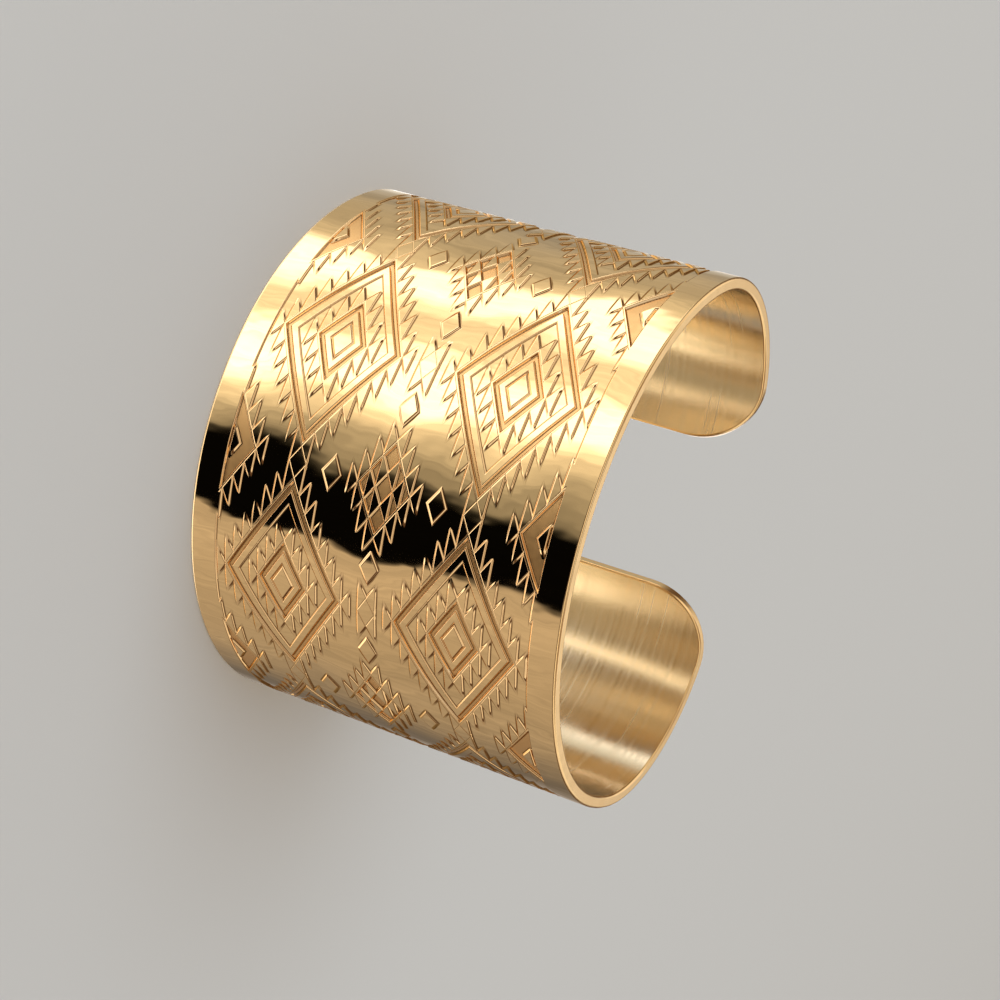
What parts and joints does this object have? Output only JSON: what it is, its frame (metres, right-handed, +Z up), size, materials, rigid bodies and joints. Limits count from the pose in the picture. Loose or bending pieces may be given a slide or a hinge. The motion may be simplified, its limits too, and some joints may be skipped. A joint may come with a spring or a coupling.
{
  "type": "cuff bracelet",
  "caption": "Wide open cuff bracelet of gold-coloured sheet metal, stamped outside with raised serrated diamonds inside a plain edge band, and plain within.",
  "frame": {"origin": "middle of the bounding box's base, on the surface that the cuff lies on", "axes": "Z runs up through the wrist hollow, across the band's width. +X points out of the middle of the back, and the opening is towards -X. Y is the oval's long direction."},
  "size_m": [0.0488, 0.0616, 0.045],
  "materials": {
    "gold_brass": "polished gold-coloured face with satin sunk bands, and a brushed inside"
  },
  "bodies": {
    "root": {"cuff_band": "gold_brass"}
  },
  "joints": []
}
